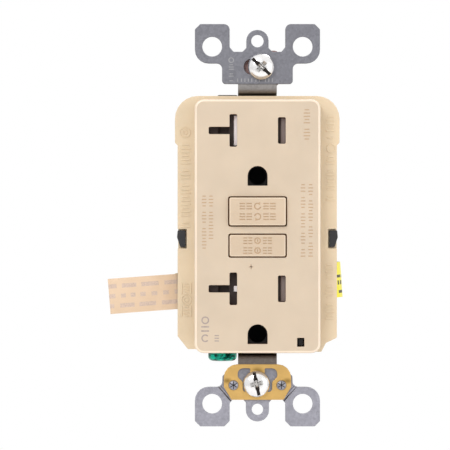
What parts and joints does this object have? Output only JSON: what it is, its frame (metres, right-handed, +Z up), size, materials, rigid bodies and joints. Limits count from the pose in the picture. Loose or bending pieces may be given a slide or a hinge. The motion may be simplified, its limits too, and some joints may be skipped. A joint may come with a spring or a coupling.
{
  "type": "duplex receptacle",
  "caption": "Decorator-style 20 A ground-fault duplex receptacle with T-slot outlets, reset and test buttons and a steel mounting strap with screws.",
  "frame": {"origin": "centre of the device in the plane of the wall, which is the back of the strap's ears", "axes": "+X to the right of someone facing the device, +Y into the wall, +Z up along the strap"},
  "size_m": [0.0624, 0.0392, 0.1058],
  "materials": {
    "ivory_plastic": "semi-gloss moulded, light almond",
    "ivory_button": "semi-gloss moulded, light almond",
    "black_plastic": "satin moulded, fine texture",
    "inner_plastic": "satin moulded, off-white",
    "galvanised_steel": "zinc plated, fine spangle",
    "plated_steel": "zinc plated",
    "nickel_screw": "bright nickel plate",
    "brass_sheet": "bright brass sheet",
    "brass_contact": "bright brass",
    "tinned_contact": "nickel plated brass",
    "spring_steel": "bright spring wire",
    "green_screw": "green dyed plating, glossy",
    "red_fibre": "pressed fibre, matt",
    "board_laminate": "solder mask over laminate",
    "ferrite": "coated ferrite",
    "copper_winding": "enamelled copper wire",
    "copper_sheet": "copper alloy sheet",
    "clear_plastic": "clear moulded",
    "varistor_coating": "dipped epoxy",
    "chip_epoxy": "matt epoxy",
    "paper_tape": "crepe tape, yellow printed face outwards"
  },
  "bodies": {
    "housing": {"front_cover": "ivory_plastic", "middle_frame": "inner_plastic", "back_body": "black_plastic", "mounting_strap": "galvanised_steel", "grounding_clip": "brass_sheet", "clip_rivet_left": "galvanised_steel", "clip_rivet_right": "galvanised_steel", "lower_screw_retainer": "red_fibre", "ground_contact_upper": "brass_contact", "ground_contact_lower": "brass_contact", "reset_spring": "spring_steel", "test_spring": "spring_steel", "light_pipe": "clear_plastic", "indicator_led": "clear_plastic", "shutter_retainer_upper": "inner_plastic", "shutter_retainer_lower": "inner_plastic", "shutter_spring_upper": "spring_steel", "shutter_spring_lower": "spring_steel", "hot_load_terminal": "brass_contact", "neutral_load_terminal": "tinned_contact", "hot_line_terminal": "brass_contact", "neutral_line_terminal": "tinned_contact", "circuit_board": "board_laminate", "controller_chip": "chip_epoxy", "differential_core": "ferrite", "neutral_core": "ferrite", "transformer_cup": "inner_plastic", "solenoid_bobbin": "inner_plastic", "solenoid_coil": "copper_winding", "plunger_spring": "spring_steel", "surge_varistor": "varistor_coating", "filter_capacitor": "ivory_plastic", "housing_screw_1": "plated_steel", "housing_screw_2": "plated_steel", "housing_screw_3": "plated_steel", "housing_screw_4": "plated_steel", "terminal_tape": "paper_tape", "test_leaf": "copper_sheet"},
    "reset_button": {"reset_button": "ivory_button", "reset_pin": "spring_steel"},
    "test_button": {"test_button": "ivory_button"},
    "shutter_upper": {"shutter_upper": "inner_plastic"},
    "shutter_lower": {"shutter_lower": "inner_plastic"},
    "upper_retainer": {"upper_screw_retainer": "red_fibre"},
    "upper_screw": {"upper_mounting_screw": "nickel_screw"},
    "lower_screw": {"lower_mounting_screw": "nickel_screw"},
    "ground_screw": {"ground_screw": "green_screw"},
    "trip_plunger": {"solenoid_plunger": "plated_steel", "latch_slide": "plated_steel"},
    "contact_lifter": {"contact_lifter": "inner_plastic"},
    "hot_arm": {"hot_contact_arm": "copper_sheet"},
    "neutral_arm": {"neutral_contact_arm": "copper_sheet"},
    "hot_line_clamp": {"hot_line_clamp": "plated_steel"},
    "hot_line_screw": {"hot_line_screw": "brass_contact"},
    "hot_load_clamp": {"hot_load_clamp": "plated_steel"},
    "hot_load_screw": {"hot_load_screw": "brass_contact"},
    "neutral_line_clamp": {"neutral_line_clamp": "plated_steel"},
    "neutral_line_screw": {"neutral_line_screw": "tinned_contact"},
    "neutral_load_clamp": {"neutral_load_clamp": "plated_steel"},
    "neutral_load_screw": {"neutral_load_screw": "tinned_contact"}
  },
  "joints": [
    {"name": "reset_press", "type": "slide", "parent": "housing", "child": "reset_button", "axis": [0, 1, 0], "range_m": [0, 0.003], "stiffness_N_per_m": 400, "springref_m": -0.002, "deforming": ["reset_spring"]},
    {"name": "test_press", "type": "slide", "parent": "housing", "child": "test_button", "axis": [0, 1, 0], "range_m": [0, 0.0012], "stiffness_N_per_m": 500, "springref_m": -0.001, "deforming": ["test_spring"]},
    {"name": "shutter_upper_slide", "type": "slide", "parent": "housing", "child": "shutter_upper", "axis": [1, 0, 0], "range_m": [0, 0.0026], "stiffness_N_per_m": 60, "springref_m": -0.002, "deforming": ["shutter_spring_upper"]},
    {"name": "shutter_lower_slide", "type": "slide", "parent": "housing", "child": "shutter_lower", "axis": [1, 0, 0], "range_m": [0, 0.0026], "stiffness_N_per_m": 60, "springref_m": -0.002, "deforming": ["shutter_spring_lower"]},
    {"name": "upper_screw_shift", "type": "slide", "parent": "housing", "child": "upper_retainer", "axis": [1, 0, 0], "range_m": [-0.0026, 0.0006]},
    {"name": "upper_screw_turn", "type": "hinge", "parent": "upper_retainer", "child": "upper_screw", "pos_m": [0.001, 0, 0.04165], "axis": [0, 1, 0], "continuous": true},
    {"name": "lower_screw_turn", "type": "hinge", "parent": "housing", "child": "lower_screw", "pos_m": [-0.00025, 0, -0.04165], "axis": [0, 1, 0], "continuous": true},
    {"name": "ground_screw_turn", "type": "hinge", "parent": "housing", "child": "ground_screw", "pos_m": [-0.0092, 0.0105, -0.033], "axis": [0, 0, 1], "continuous": true},
    {"name": "hot_line_clamp_slide", "type": "slide", "parent": "housing", "child": "hot_line_clamp", "axis": [-1, 0, 0], "range_m": [0, 0.0023]},
    {"name": "hot_line_screw_turn", "type": "hinge", "parent": "hot_line_clamp", "child": "hot_line_screw", "pos_m": [0.018, 0.016, 0.0145], "axis": [-1, 0, 0], "range_deg": [0, 1043.8]},
    {"name": "hot_load_clamp_slide", "type": "slide", "parent": "housing", "child": "hot_load_clamp", "axis": [-1, 0, 0], "range_m": [0, 0.0023]},
    {"name": "hot_load_screw_turn", "type": "hinge", "parent": "hot_load_clamp", "child": "hot_load_screw", "pos_m": [0.018, 0.016, -0.0145], "axis": [-1, 0, 0], "range_deg": [0, 1043.8]},
    {"name": "neutral_line_clamp_slide", "type": "slide", "parent": "housing", "child": "neutral_line_clamp", "axis": [1, 0, 0], "range_m": [0, 0.0023]},
    {"name": "neutral_line_screw_turn", "type": "hinge", "parent": "neutral_line_clamp", "child": "neutral_line_screw", "pos_m": [-0.018, 0.016, 0.0145], "axis": [1, 0, 0], "range_deg": [0, 1043.8]},
    {"name": "neutral_load_clamp_slide", "type": "slide", "parent": "housing", "child": "neutral_load_clamp", "axis": [1, 0, 0], "range_m": [0, 0.0023]},
    {"name": "neutral_load_screw_turn", "type": "hinge", "parent": "neutral_load_clamp", "child": "neutral_load_screw", "pos_m": [-0.018, 0.016, -0.0145], "axis": [1, 0, 0], "range_deg": [0, 1043.8]},
    {"name": "trip_plunger_slide", "type": "slide", "parent": "housing", "child": "trip_plunger", "axis": [0, 0, -1], "range_m": [0, 0.0015], "stiffness_N_per_m": 100, "springref_m": -0.0012, "deforming": ["plunger_spring"]},
    {"name": "lifter_slide", "type": "slide", "parent": "housing", "child": "contact_lifter", "axis": [0, -1, 0], "range_m": [0, 0.0012], "stiffness_N_per_m": 100, "springref_m": -0.001},
    {"name": "hot_arm_flex", "type": "hinge", "parent": "housing", "child": "hot_arm", "pos_m": [0.0077, 0.02185, -0.012], "axis": [1, 0, 0], "range_deg": [0, 4.46]},
    {"name": "neutral_arm_flex", "type": "hinge", "parent": "housing", "child": "neutral_arm", "pos_m": [-0.0077, 0.02185, -0.012], "axis": [1, 0, 0], "range_deg": [0, 4.46]}
  ],
  "couplings": [
    {"joint": "hot_line_screw_turn", "follows": "hot_line_clamp_slide", "rad_per_m": 7913.3},
    {"joint": "hot_load_screw_turn", "follows": "hot_load_clamp_slide", "rad_per_m": 7913.3},
    {"joint": "neutral_line_screw_turn", "follows": "neutral_line_clamp_slide", "rad_per_m": 7913.3},
    {"joint": "neutral_load_screw_turn", "follows": "neutral_load_clamp_slide", "rad_per_m": 7913.3},
    {"joint": "hot_arm_flex", "follows": "lifter_slide", "rad_per_m": 64.103},
    {"joint": "neutral_arm_flex", "follows": "lifter_slide", "rad_per_m": 64.103}
  ]
}
